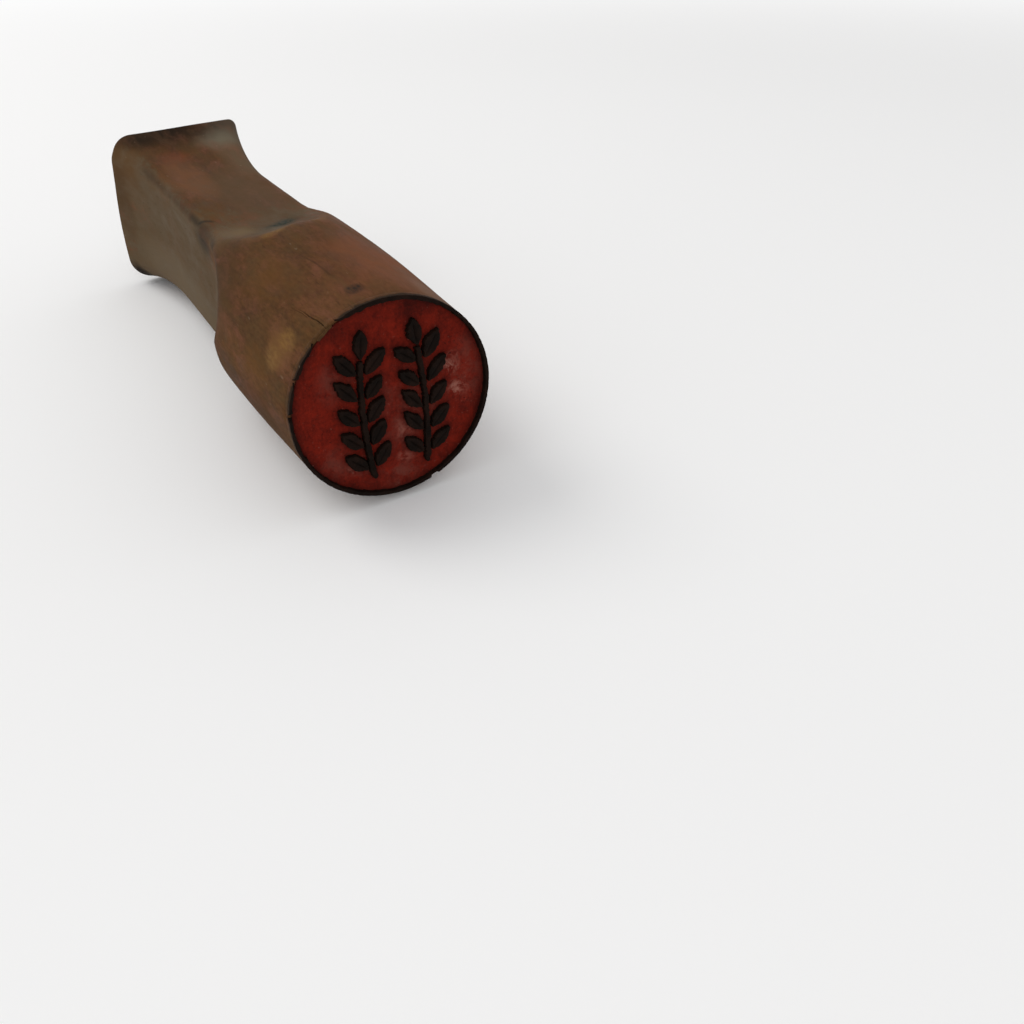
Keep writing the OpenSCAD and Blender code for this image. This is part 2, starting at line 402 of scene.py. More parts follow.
    # Lines: distance from the nearest point between their ends, on a path that wavers
    for start, end, half, code, strength in woodLines.values():
        run = Vector(end) - Vector(start)
        fromStart = add(vectorNode, [waver, start], operation="SUBTRACT")
        ahead = add(vectorNode, [fromStart, run / run.length_squared], operation="DOT_PRODUCT")
        share = add("ShaderNodeClamp", {"Value": ahead})
        nearest = add(vectorNode, {0: run, "Scale": share}, operation="SCALE")
        gap = add(vectorNode, [fromStart, nearest], operation="DISTANCE")
        fade = add(rangeNode, [gap, half * 0.4, half * 2.2, strength, 0.0], **soft)
        toEnd = add(mathNode, [share, 0.5], operation="PINGPONG")
        taper = add(rangeNode, [toEnd, 0.0, 0.3, 0.1], **soft)
        layers.append((code, fade, taper, crumbs if half > spec["wideLine"] else breakUp))

    # Ink that crept back from the border, greyed in part as a painted sheen on the border's slope, soot beyond
    # it, dirt in the cracks and specks of pale dust
    fromFace = add(mathNode, [axes.outputs["Y"], printPlane], operation="SUBTRACT")
    ragged = add(rangeNode, [patterns["patch"], 0.3, 0.7, 0.35, 1.35])
    reachHere = add(mathNode, [masks["inkReach"], ragged], operation="MULTIPLY")
    pastInk = add(mathNode, [fromFace, reachHere], operation="DIVIDE")
    for tint, low, high, strength in (("inkFadeAndSheen", 0.5, 1.1, 0.88), ("grimeAndShade", 0.8, 2.6, 0.3)):
        inkFactor = add(rangeNode, [pastInk, low, high, strength, 0.0], **soft)
        layers.append((spec[tint], inkFactor))
    layers.append((spec["pore"], masks["crack"]))
    speckFactor = add(rangeNode, [patterns["speck"], 0.74, 0.82, 0.0, 0.2])
    layers.append((spec["dust"], speckFactor))

    height = add(mathNode, [poreFactor, -0.6, patterns["fibre"]], operation="MULTIPLY_ADD")
    finishMaterial(add, spec, spec["dark"], layers, patterns["patch"], height)
    return material


# Dried vermilion stamping ink on wood that was cut back with a gouge.
# To the eye it is a matt red, vivid on the left, hazed with pinkish dust and spotted with black,
# with painted shade in the corners and along the top and right of the border.
redSpec = {
    "deep": "#480F08",
    "bright": "#6F1B0F",
    "haze": "#64332A",
    # Painted shade for the corners and along the border
    "dark": "#200806",
    "chalk": "#96675A",
    "soot": "#120907",
    # Sizes of the patterns in mm
    "wander": 2.5,
    "mottle": 3.2,
    "hazePatch": 3.0,
    "smear": 1.6,
    "speck": 0.5,
    "grain": 0.42,
    "strokeAcross": 0.45,
    "strokeAlong": 3.4,
    "strokeTurn": 8.0,
    "stray": (3.0, 0.0, 3.0),
    "smearEdge": 0.1,
    "smearDepth": (1.0, 10.0),
    "roughness": (0.6, 0.85),
    "bump": (0.6, 0.1),
    "ior": 1.5,
    "specular": 0.04,
}

# Dusty patches and patches of painted shade on the ground: place on the face, reach each way, colour and
# strength
redSmears = {
    "hazeMiddle": ((3.0, -3.0), (9.0, 11.0), "haze", 0.7),
    "hazeLeft": ((-9.5, 5.5), (4.5, 5.0), "haze", 0.65),
    "hazeRight": ((14.0, 1.5), (4.0, 8.5), "haze", 0.8),
    "hazeLow": ((-1.0, -15.0), (9.0, 3.6), "haze", 0.75),
    "hazeLowLeft": ((-11.5, -9.0), (4.5, 5.0), "haze", 0.55),
    # Painted shade on the ground along the top and the right of the border
    "shadeTop": ((5.6, 15.2), (5.5, 2.8), "dark", 0.85),
    "shadeTopLeft": ((-7.5, 14.0), (3.6, 2.4), "dark", 0.5),
    "shadeRight": ((16.2, -6.0), (2.6, 10.0), "dark", 0.7),
    "chalkRight": ((11.0, 3.6), (2.4, 2.8), "chalk", 0.68),
    "chalkRightLow": ((12.0, -1.6), (2.6, 2.2), "chalk", 0.62),
    "chalkMiddle": ((1.4, -6.4), (2.6, 3.0), "chalk", 0.35),
    "chalkLow": ((1.1, -11.4), (2.6, 2.4), "chalk", 0.3),
    "chalkLeft": ((-7.0, -10.6), (3.4, 2.6), "chalk", 0.45),
}


def makeRedInk():
    spec = redSpec
    material, add, inMm = newMaterial("driedRedInkOnGougedWood")
    bent = add(vectorNode, [
        strayAbout(add, inMm, spec["wander"]), spec["stray"], inMm], operation="MULTIPLY_ADD")
    strokeMap = add("ShaderNodeMapping", {
        "Vector": bent, "Rotation": (0.0, math.radians(spec["strokeTurn"]), 0.0),
        "Scale": (1 / spec["strokeAcross"], 1.0, 1 / spec["strokeAlong"])})
    patterns = {}
    for name, start, size, detail, rough in (
            ("mottle", bent, spec["mottle"], 7.0, 0.7), ("strokes", strokeMap, 1.0, 4.0, 0.6),
            ("grain", inMm, spec["grain"], 3.0, 0.7), ("chalky", bent, spec["smear"], 7.0, 0.7),
            ("hazy", bent, spec["hazePatch"], 8.0, 0.75), ("specks", inMm, spec["speck"], 2.0, 0.5)):
        patterns[name] = add(noiseNode, {
            "Vector": start, "Scale": 1 / size, "Detail": detail, "Roughness": rough})
    uneven = patterns["mottle"]
    for name, share in (("strokes", 0.55), ("grain", 0.62)):
        uneven = add(mathNode, [patterns[name], share, uneven], operation="MULTIPLY_ADD")
    mottleFactor = add(rangeNode, [uneven, 0.87, 1.29])
    layers = [(spec["bright"], mottleFactor)]

    # Thin washes have soft edges, chalk breaks up into crumbs
    breaks = {}
    for tint, name, low, high, least in (("haze", "hazy", 0.42, 0.57, 0.12), ("dark", "hazy", 0.65, 0.4, 0.35),
                                         ("chalk", "chalky", 0.44, 0.58, 0.0)):
        breaks[tint] = add(rangeNode, [patterns[name], low, high, least])
    depthAt, depthReach = spec["smearDepth"]
    for at, reach, tint, strength in redSmears.values():
        fade = fadeAround(add, bent, onFace(*at, depthAt).tolist(), (reach[0], depthReach, reach[1]),
                          spec["smearEdge"], strength)
        layers.append((spec[tint], fade, breaks[tint]))
    # Painted shade in the corners, with smeared ink beside the marks, from the ground's corner mask
    corner = add("ShaderNodeAttribute", attribute_name="corner").outputs["Fac"]
    layers.append((spec["dark"], corner))

    # Crumbs of dust and specks of black ink
    for tint, low, high, strength in (("chalk", 0.66, 0.76, 0.22), ("soot", 0.34, 0.26, 0.8)):
        speckFactor = add(rangeNode, [patterns["specks"], low, high, 0.0, strength])
        layers.append((spec[tint], speckFactor))
    finishMaterial(add, spec, spec["deep"], layers, patterns["mottle"], patterns["chalky"])
    return material


# Dried black ink on raised wood, pressed flat by printing.
# To the eye it is a dull brown-black top, with worn corners and sides that run into brown or dark red.
blackSpec = {
    "ink": "#0F0906",
    "thin": "#1F130E",
    "smear": 2.4,
    "grit": 0.35,
    "fadeRun": 0.45,
    "roughness": (0.5, 0.72),
    "bump": (0.4, 0.05),
    "ior": 1.5,
    "specular": 0.035,
}


# foot is the colour that the sides run into, and wearAt the depth at which the black has worn to it
def makeBlackInk(name, foot, wearAt):
    spec = blackSpec
    material, add, inMm = newMaterial(name)
    cloud, grit = (
        add(noiseNode, {"Vector": inMm, "Scale": 1 / size, "Detail": detail, "Roughness": rough})
        for size, detail, rough in ((spec["smear"], 6.0, 0.65), (spec["grit"], 3.0, 0.5)))
    thinFactor = add(rangeNode, [cloud, 0.4, 0.72])
    axes = add("ShaderNodeSeparateXYZ", [inMm])
    depth = add(mathNode, [axes.outputs["Y"], printPlane], operation="SUBTRACT")
    edge = add(mathNode, [cloud, -0.9, depth], operation="MULTIPLY_ADD")
    footFactor = add(rangeNode, [edge, wearAt - spec["fadeRun"], wearAt, 0.0, 0.85], **soft)
    finishMaterial(add, spec, spec["ink"], [(spec["thin"], thinFactor), (foot, footFactor)], cloud, grit)
    return material


wood = makeWood()
redInk = makeRedInk()
borderInk = makeBlackInk("driedBlackInkOnWoodenBorder", "#2E1A13", 1.1)
markInk = makeBlackInk("driedBlackInkOnRaisedWood", "#33110B", 0.6)
print("materials made")

# The handle: round barrel, four scoops, a square waist and a flared end, all edges softened by use
handleSpec = {
    "bellyBack": 43.5,
    "gripW": 35.4,
    "gripH": 37.8,
    "waistW": 25.4,
    "waistH": 27.0,
    "flare": 39.5,
    "waist": 30.0,
    # By degrees round the stamp: no two scoops were cut alike
    "scoopRadius": {
        -180: 52.0, -165: 50.0, -120: 58.0, -45: 60.0, 0: 66.0, 32: 66.0, 48: 63.0, 63: 61.0, 78: 65.0,
        90: 68.0, 102: 77.0, 114: 82.0, 132: 78.0, 150: 80.0, 162: 73.0, 170: 64.0, 180: 52.0,
    },
    "scoopStart": {-180: 0.0, 0: 0.0, 22: -4.0, 35: -7.0, 50: -5.0, 70: 0.0, 180: 0.0},
    "endRound": 2.0,
    "cornerAtEnd": {"upLeft": 5.8, "upRight": 1.8, "downLeft": 5.6, "downRight": 3.0},
    "cornerAtWaist": 2.6,
    "leftLean": {"waistTop": 1.0, "waistFoot": 0.0, "endTop": 1.4, "endFoot": 1.4},
    "leftBow": 0.6,
    "topLean": 0.45,
    "shoulderSoft": (0.6, 0.32, 0.6, 1.1),
    "wobble": ((14.0, 0.16), (4.5, 0.05)),
    "boxGap": 0.04,
    # Where the masks of wear and painted shade run out, in mm: across the crest, and by depth
    "crestHalf": 0.9,
    "crestDepth": (55, 48),
    "gripBlend": 1.2,
    "ridgeDepth": (126, 112),
    "greyDepth": (90, 60),
    "cutEndDepth": (1.2, 0.2),
    "settle": 9.0,
    "crackWiggle": ((0.2, 1.3), (0.06, 4.3)),
    # The mesh: degrees of the fine band, numbers of columns and rings, steps and gaps in mm
    "crackBand": (117.0, 129.0),
    "crackColumns": 80,
    "columns": 300,
    "nearStep": 0.25,
    "nearDepth": 12.0,
    "rowStep": 0.45,
    "endRun": 3.0,
    "endRings": 22,
    "recessGap": 0.04,
    "endInset": 0.12,
}

# Cracks in the barrel: depth and angle at both ends, how deep they gape, half their width and their dirt
crackSpec = (
    (0.9, 121.7, 12.0, 125.4, 0.28, 0.07, 0.7),
    (2.4, 120.6, 6.6, 121.9, 0.08, 0.06, 0.3),
    (6.4, 124.6, 13.5, 127.0, 0.1, 0.06, 0.4),
)

# Dents and chips: depth from the face, angle, reach and how far they go in
dentSpec = (
    (1.2, 172.0, 1.3, 0.45), (1.4, 128.0, 2.2, 0.35), (23.0, 35.0, 1.6, 0.18), (31.0, 168.0, 2.0, 0.15),
    (15.0, -30.0, 1.8, 0.2), (28.0, -110.0, 2.4, 0.16), (128.0, 20.0, 2.4, 0.3), (132.0, 135.0, 3.0, 0.35),
    (133.5, -40.0, 2.6, 0.4), (118.0, -95.0, 2.2, 0.2),
)

# How far back from the face the border's ink has crept, in mm, by degrees
inkReach = {-180: 1.25, -120: 1.25, -60: 1.2, 0: 1.1, 50: 1.1, 90: 1.2, 114: 1.2, 121: 0.9, 136: 1.0,
            150: 1.15, 180: 1.25}


# Half a size of the grip at a distance from its end: flare, straight waist, then the scoop to the barrel
def scoopLine(back, scoopRadius, scoopStart, halfWaist, halfEnd):
    spec = handleSpec
    flareRadius = arcRadius(spec["flare"], halfEnd - halfWaist)
    intoFlare = np.clip(spec["flare"] - back, 0, None)
    intoScoop = np.clip(back - spec["flare"] - spec["waist"] - scoopStart, 0, scoopRadius)
    flare = flareRadius - np.sqrt(flareRadius ** 2 - intoFlare ** 2)
    scoop = scoopRadius - np.sqrt(scoopRadius ** 2 - intoScoop ** 2)
    return halfWaist + flare + scoop


# Distance from the axis to the grip's rounded rectangle, and how far into a corner that is
def gripSection(cosine, sine, halfW, halfH, corner):
    tiny = 1e-6
    c, s = np.abs(cosine), np.abs(sine)
    flat = np.minimum(halfW / np.maximum(c, tiny), halfH / np.maximum(s, tiny))
    coreW, coreH = halfW - corner, halfH - corner
    along = coreW * c + coreH * s
    bend = along + np.sqrt(np.maximum(along ** 2 - coreW ** 2 - coreH ** 2 + corner ** 2, 0))
    cornerDepth = np.minimum(flat * c - coreW, flat * s - coreH) / corner
    return np.where(cornerDepth > 0, bend, flat), np.clip(cornerDepth, 0, 1)


# Radius of the handle and its masks of wear and painted shade on a grid of depths and angles
def handleRadius(depth, angle):
    spec = handleSpec
    back = stampLength - depth
    cosine, sine = np.cos(angle), np.sin(angle)
    bellyAt = stampLength - spec["bellyBack"]
    run = stampLength - rimDepth - bellyAt
    barrelArc = arcRadius(run, bellyRadius - faceRadius)
    fromBelly = np.clip(back, None, stampLength - rimDepth) - bellyAt
    barrel = bellyRadius - barrelArc + np.sqrt(barrelArc ** 2 - fromBelly ** 2)
    # Behind the scoops the barrel's line swings clear of the grip
    barrel = barrel + np.clip(spec["flare"] + spec["waist"] - back, 0, None)

    rounding = np.clip(spec["endRound"] - back, 0, spec["endRound"])
    inset = spec["endRound"] - np.sqrt(spec["endRound"] ** 2 - rounding ** 2)
    flaring = 1 - smoothStep(0, spec["flare"], back)
    scoopRadius = byAngle(np.degrees(angle), spec["scoopRadius"])
    scoopStart = byAngle(np.degrees(angle), spec["scoopStart"])
    halfW = scoopLine(back, scoopRadius, scoopStart, spec["waistW"] / 2, spec["gripW"] / 2) - inset
    halfH = scoopLine(back, scoopRadius, scoopStart, spec["waistH"] / 2, spec["gripH"] / 2) - inset
    # The left facet leans and bows, the top facet falls to the left
    lean = spec["leftLean"]
    leanTop = lean["waistTop"] + flaring * (lean["endTop"] - lean["waistTop"])
    leanFoot = lean["waistFoot"] + flaring * (lean["endFoot"] - lean["waistFoot"])
    leaning = np.interp(sine, (-0.7, 0.7), (0, 1))
    bow = spec["leftBow"] * flaring * (1 - (2 * leaning - 1) ** 2)
    halfW = halfW - np.where(cosine < 0, leaning * leanTop - (1 - leaning) * leanFoot - bow, 0)
    halfH = halfH + np.where(sine > 0, spec["topLean"] * flaring * cosine, 0)
    ends = spec["cornerAtEnd"]
    upper = np.where(cosine < 0, ends["upLeft"], ends["upRight"])
    lower = np.where(cosine < 0, ends["downLeft"], ends["downRight"])
    corner = spec["cornerAtWaist"] + flaring * (np.where(sine > 0, upper, lower) - spec["cornerAtWaist"])
    grip, ridge = gripSection(cosine, sine, halfW, halfH, corner)

    # A soft join of the two shapes
    join = np.interp(cosine, (-1, 0, 0.5, 1), spec["shoulderSoft"])
    nearer = np.minimum(grip, barrel)
    radius = nearer - join * np.log(np.exp((nearer - grip) / join) + np.exp((nearer - barrel) / join))
    onGrip = smoothStep(-spec["gripBlend"], spec["gripBlend"], barrel - grip)
    crest = np.exp(-((barrel - grip) / spec["crestHalf"]) ** 2) * smoothStep(*spec["crestDepth"], depth)
    masks = {
        "shoulder": crest * smoothStep(0.6, 0.9, sine),
        # Grime on the grip's ridges, and painted shade along the left crest
        "ridge": np.maximum(smoothStep(0.3, 1.0, ridge) * onGrip * smoothStep(*spec["ridgeDepth"], depth),
                            0.85 * crest * smoothStep(0.4, 0.8, -cosine)),
        "greyFacet": np.maximum(smoothStep(0.5, 5.5, barrel - grip) * smoothStep(0.35, 0.75, -cosine),
                                0.72 * onGrip * smoothStep(0.5, 0.8, sine)
                                * smoothStep(*spec["greyDepth"], depth)),
        "inkReach": byAngle(np.degrees(angle), inkReach) + 0 * depth,
    }
    return radius, masks


def makeHandle():
    spec = handleSpec
    # Columns stand closer together where the cracks are
    bandStart, bandEnd = spec["crackBand"]
    crackBand = np.linspace(bandStart, bandEnd, spec["crackColumns"])
    rest = np.linspace(bandEnd, bandStart + 360, spec["columns"], endpoint=False)[1:]
    angle = np.radians(np.concatenate([crackBand, rest]))
    count = len(angle)

    # The face end: a recess for the ground inside a narrow lip, then round the lip on to the barrel
    inner = plateRadius + spec["recessGap"]
    recess = [(inner * share, rimDepth) for share in np.linspace(0.02, 1.0, 8)]
    lip = [(inner + 0.01, 1.3), (inner + 0.04, 1.03), (inner + 0.4, 1.0), (faceRadius - 0.2, 1.02),
           (faceRadius - 0.07, 1.1), (faceRadius - 0.03, 1.25), (faceRadius - 0.03, 1.5)]
    endStart = stampLength - spec["endRun"]
    near = np.arange(rimDepth, spec["nearDepth"], spec["nearStep"])
    far = np.arange(spec["nearDepth"], endStart, spec["rowStep"])
    turn = stampLength - spec["endRound"] * (1 - np.sin(np.linspace(0, math.pi / 2, 12)))
    body = np.concatenate([near, far, np.linspace(endStart, turn[0], 4)[:-1], turn])

    # Wobble, dents and cracks, all inside the box
    depth = np.repeat(body[:, None], count, axis=1)
    radius, masks = handleRadius(depth, angle[None, :])
    where = aroundAxis(radius, angle, depth)
    settle = smoothStep(rimDepth, spec["settle"], depth)
    for seed, (size, reach) in enumerate(spec["wobble"]):
        lumps = ripple(where.reshape(-1, 3), size, seed + 1).reshape(depth.shape)
        radius = radius - settle * reach * (0.35 - 0.5 * lumps)
    widest = np.maximum(np.abs(np.cos(angle)), np.abs(np.sin(angle)))
    radius = np.minimum(radius, (bellyRadius - spec["boxGap"]) / widest)
    for dentDepth, dentAngle, reach, inward in dentSpec:
        across = wrapped(np.degrees(angle) - dentAngle)
        gap = np.hypot(np.radians(across)[None, :] * radius, depth - dentDepth) / reach
        radius = radius - inward * np.exp(-gap ** 2 * 1.5)
    masks["crack"] = np.zeros_like(depth)
    wiggle = sum(reach * np.sin(depth * turns) for reach, turns in spec["crackWiggle"])
    for startDepth, startAngle, endDepth, endAngle, gape, halfWidth, stain in crackSpec:
        share = (depth - startDepth) / (endDepth - startDepth)
        line = startAngle + share * (endAngle - startAngle) + wiggle
        across = np.radians(np.degrees(angle)[None, :] - line) * radius
        taper = smoothStep(1.0, 0.45, share) * (share > 0)
        groove = taper * np.exp(-(across / halfWidth) ** 2)
        radius = radius - gape * groove
        masks["crack"] = np.maximum(masks["crack"], stain * groove)

    # Saw-cut end, set in a little, with faint kerf lines
    endPlane = stampLength - spec["endInset"]
    shares = np.linspace(1, 0, spec["endRings"] + 1)[1:-1]
    endRadius = radius[-1][None, :] * shares[:, None]
    kerf = (0.05 * np.sin(endRadius * np.sin(angle + 0.5) * 3.1)
            + 0.04 * np.sin(endRadius * np.cos(angle) * 0.9))
    endDepth = endPlane + kerf * smoothStep(1.0, 0.9, shares[:, None])

    frontRows = [aroundAxis(r, angle, np.full(count, d)) for r, d in recess + lip]
    endRows = aroundAxis(endRadius, angle, endDepth)
    rows = np.concatenate([np.stack(frontRows), aroundAxis(radius, angle, depth), endRows])
    middle = np.stack([onFace(0.0, 0.0, rimDepth), onFace(0.0, 0.0, endPlane)])
    points = np.concatenate([rows.reshape(-1, 3), middle])
    faces = ringFaces(len(rows), count) + hubFaces(len(rows), count)

    cutFrom, cutTo = spec["cutEndDepth"]
    masks["cutEnd"] = smoothStep(stampLength - cutFrom, stampLength - cutTo, depth)
    flat = {}
    for label, values in masks.items():
        atEnd = 1.0 if label in ("cutEnd", "inkReach") else 0.0
        atFront = np.tile(values[0] if label in ("crack", "inkReach") else 0 * values[0], len(frontRows))
        endValues = np.full(len(endRows) * count, atEnd)
        flat[label] = np.concatenate([atFront, values.ravel(), endValues, [0.0, atEnd]])
    makePiece("turnedHandle", points, faces, [wood], "handle", flat)


makeHandle()

# The two leafy sprigs, cut in relief: stems that bend outward, leaf pairs along them and a leaf at each tip
sprigSpec = {
    "stemGap": 11.4,
    "stemWidth": 1.0,
    "stemLength": 22.0,
    "stemBend": 90.0,
    "stemTaper": 0.25,
    "leafPairs": 5,
    "leafLength": 4.8,
    "leafWidth": 2.3,
    "leafTurn": 42.0,
    "leafGap": 0.35,
    "leafPoint": 0.07,
    "foot": 1.3,
    "flank": 0.2,
    "midFlank": (0.06, 0.6),
    "easeDepth": 0.12,
    "ease": 0.1,
    "veinWidth": 0.2,
    "veinDepth": 0.55,
    "leafSteps": 56,
    "stemSteps": 170,
    "knife": (0.16, 1.5),
    "chips": (0.24, 0.42),
    "wear": (0.02, 0.03, 1.6),
    "unlike": 0.16,
    "seeds": {"left": 11, "right": 47},
}
flip = np.array((-1, 1, 1))


# A point on the left stem at a turn from its middle, and the way on along the stem there
def stemPoint(turn):
    spec = sprigSpec
    drop = (spec["leafGap"] + spec["leafLength"]) / 2
    place = np.array([spec["stemBend"] * (1 - math.cos(turn)) - spec["stemGap"] / 2,
                      spec["stemBend"] * math.sin(turn) - drop])
    return place, np.array([math.sin(turn), math.cos(turn)])


# One raised stroke: a line of places with half widths; vein is how far a middle cut goes in at each place
def raisedStroke(places, halfWidths, vein, seed):
    spec = sprigSpec
    ahead = np.gradient(places, axis=0)
    ahead /= np.linalg.norm(ahead, axis=1)[:, None]
    right = np.stack([ahead[:, 1], -ahead[:, 0]], axis=1)
    here = np.array([[*p, 0.0] for p in places])
    # Long unsteady cuts with small chips along them, in mm
    (cut, cutSize), (chip, chipSize), (least, worn, wornSize) = spec["knife"], spec["chips"], spec["wear"]
    wave = {side: cut * ripple(here, cutSize, seed + side)
            - chip * np.clip(ripple(here, chipSize, seed + 3 + side), -0.4, None)
            for side in (-1, 1)}
    wear = least + worn * (ripple(here, wornSize, seed + 5) + 1)
    veinHalf = np.minimum(spec["veinWidth"], halfWidths * 0.4)
    midOut, midDepth = spec["midFlank"]
    ring = []
    for side in (-1, 1):
        edge = halfWidths + wave[side] * np.minimum(1, halfWidths / 0.35)
        ease = np.minimum(spec["ease"], edge * 0.4)
        flank = [(edge + spec["flank"], np.full_like(edge, spec["foot"])),
                 (edge + midOut, np.full_like(edge, midDepth)),
                 (edge, spec["easeDepth"] + wear), (edge - ease, wear),
                 (np.minimum(veinHalf, (edge - ease) * 0.7), wear + vein * 0.02)]
        if side > 0:
            flank = flank[::-1]
        ring += [(side * out, deep) for out, deep in flank]
        if side < 0:
            ring.append((np.zeros_like(edge), wear + vein))
    rows = [places + right * out[:, None] for out, deep in ring]
    return np.stack([onFace(row[:, 0], row[:, 1], deep) for row, (out, deep) in zip(rows, ring)], axis=1)


# Strokes as one mesh with closed ends; so many columns of each have finish 0, the rest 1
def joinStrokes(strokes, mirrored, firstColumns):
    points, faces, finishes, start = [], [], [], 0
    for stroke, first in zip(strokes, firstColumns):
        rows, columns = stroke.shape[:2]
        made = [[start + k for k in face] for face in ringFaces(rows, columns)]
        made.append([start + k for k in range(columns)])
        made.append([start + (rows - 1) * columns + k for k in reversed(range(columns))])
        faces += [face if mirrored else face[::-1] for face in made]
        finishes += [0 if k % columns < first else 1 for k in range((rows - 1) * columns)]
        finishes += [int(first < columns)] * 2
        points.append(stroke.reshape(-1, 3) * (flip if mirrored else 1))
        start += rows * columns
    return np.concatenate(points), faces, finishes


# No two leaves were cut quite alike: each has its own length, width and lean
def leafStroke(place, ahead, seed):
    spec = sprigSpec
    spots = np.array([[0.5, 0.5, k + 0.5] for k in range(3)])
    longer, wider, lean = (spec["unlike"] * float(value) for value in ripple(spots, 1.0, seed))
    ahead = np.array([ahead[0] - lean * ahead[1], ahead[1] + lean * ahead[0]]) / math.hypot(1, lean)
    length = spec["leafLength"] * (1 + longer)
    width = spec["leafWidth"] * (1 + wider)
    along = np.linspace(0, length, spec["leafSteps"])
    bow = arcRadius(length / 2, width / 2)
    half = np.sqrt(bow ** 2 - (along - length / 2) ** 2) - bow + width / 2
    share = along / length
    vein = spec["veinDepth"] * smoothStep(0.0, 0.25, share) * smoothStep(0.9, 0.6, share)
    return raisedStroke(place + along[:, None] * ahead, np.maximum(half, spec["leafPoint"]), vein, seed)


# Makes the stem and leaves of one sprig, and returns the lines where their tops turn down
def makeSprig(side, seed):
    spec = sprigSpec
    mirrored = side == "right"
    halfTurn = spec["stemLength"] / spec["stemBend"] / 2
    share = np.linspace(0, 1, spec["stemSteps"])
    middle = np.array([stemPoint(turn)[0] for turn in np.linspace(-halfTurn, halfTurn, spec["stemSteps"])])
    half = spec["stemWidth"] / 2 * (1 - spec["stemTaper"] * share)
    half *= smoothStep(-0.02, 0.03, share) * 0.6 + 0.4
    stem = raisedStroke(middle, half, np.zeros(len(share)), seed)
    leaves = []
    lean = math.radians(spec["leafTurn"])
    for i in range(spec["leafPairs"]):
        place, ahead = stemPoint(-halfTurn + (i + 0.5) * 2 * halfTurn / spec["leafPairs"])
        outward = np.array([ahead[1], -ahead[0]])
        for way in (-1, 1):
            root = place + way * outward * (spec["stemWidth"] / 2 + spec["leafGap"])
            toTip = ahead * math.cos(lean) + way * outward * math.sin(lean)
            leaves.append(leafStroke(root, toTip, seed + 7 * len(leaves)))
    place, ahead = stemPoint(halfTurn)
    leaves.append(leafStroke(place + ahead * spec["leafGap"], ahead, seed + 90))
    for name, node, strokes in (("SprigStem", "_stem", [stem]), ("SprigLeaves", "_leaves", leaves)):
        points, faces, _ = joinStrokes(strokes, mirrored, [0] * len(strokes))
        makePiece(side + name, points, faces, [markInk], side + node)
    return [np.concatenate([s[:, 3], s[:, -4]]) * (flip if mirrored else 1) for s in leaves + [stem]]


outlines = [line for side, seed in sprigSpec["seeds"].items() for line in makeSprig(side, seed)]

# The red ground: cut back between the marks with a gouge, rising a little at their feet and at the border
groundSpec = {
    "radius": plateRadius + 0.07,
    "middle": 0.1,
    "top": 1.05,
    "base": rimDepth - 0.05,
    "rings": 86,
    "columns": 300,
    "dish": (8.0, 0.07),
    "gouge": ((0.9, 1.0, 5.5), 0.07),
    "gougeTurn": 24.0,
    "footRise": 0.22,
    "footReach": 0.4,
    # How dark the painted shade in the corners is and how far it reaches: at the marks, where it also stands
    # for smeared ink, and at the border
    "markShadeAndInk": (0.75, 0.55),
    "rimShade": (0.7, 0.8),
    "darkestShade": 0.85,
    # Painted shade on the ground's side wall inside the recess
    "sideShade": 0.8,
}


def makeGround():
    spec = groundSpec
    columns = spec["columns"]
    angle = np.linspace(0, 2 * math.pi, columns, endpoint=False)
    radius = np.linspace(spec["middle"], spec["radius"], spec["rings"])[:, None]
    right, up = radius * np.cos(angle), radius * np.sin(angle)
    flat = np.stack([right, np.zeros_like(right), up], axis=-1).reshape(-1, 3)
    outline = np.concatenate(outlines)
    tree = kdtree.KDTree(len(outline))
    for i, place in enumerate(outline):
        tree.insert((place[0], 0.0, place[2] - axisUp), i)
    tree.balance()
    toMark = np.array([tree.find(p)[2] for p in flat]).reshape(right.shape)
    toRim = spec["radius"] - radius + 0 * right
    turn = math.radians(spec["gougeTurn"])
    turned = np.stack([flat[:, 0] * math.cos(turn) - flat[:, 2] * math.sin(turn), flat[:, 1],
                       flat[:, 0] * math.sin(turn) + flat[:, 2] * math.cos(turn)], axis=-1)
    dish = ripple(flat, spec["dish"][0], 3).reshape(right.shape) * spec["dish"][1]
    gouge = ripple(turned, np.array(spec["gouge"][0]), 4).reshape(right.shape) * spec["gouge"][1]
    rise = spec["footRise"] * (np.exp(-toMark / spec["footReach"]) + np.exp(-toRim / spec["footReach"]))
    depth = spec["top"] + dish + gouge - rise
    # Painted shade in the corners at the feet of the marks and along the border, with smeared ink beside the
    # marks
    (markShadeAndInk, markReach), (rimShade, rimReach) = spec["markShadeAndInk"], spec["rimShade"]
    dark = markShadeAndInk * np.exp(-toMark / markReach) + rimShade * np.exp(-toRim / rimReach)
    corner = np.clip(dark, 0, spec["darkestShade"])
    rows = [onFace(right[i], up[i], depth[i]) for i in range(spec["rings"])]
    rows.append(onFace(right[-1], up[-1], np.full(columns, spec["base"])))
    middle = onFace(np.zeros(2), np.zeros(2), np.array([depth[0].mean(), spec["base"]]))
    points = np.concatenate(rows + [middle])
    faces = ringFaces(len(rows), columns) + hubFaces(len(rows), columns)
    mask = np.concatenate([corner.ravel(), np.full(columns, spec["sideShade"]), [0.0, 0.0]])
    makePiece("gougedGround", points, faces, [redInk], "die_plate", {"corner": mask})


makeGround()

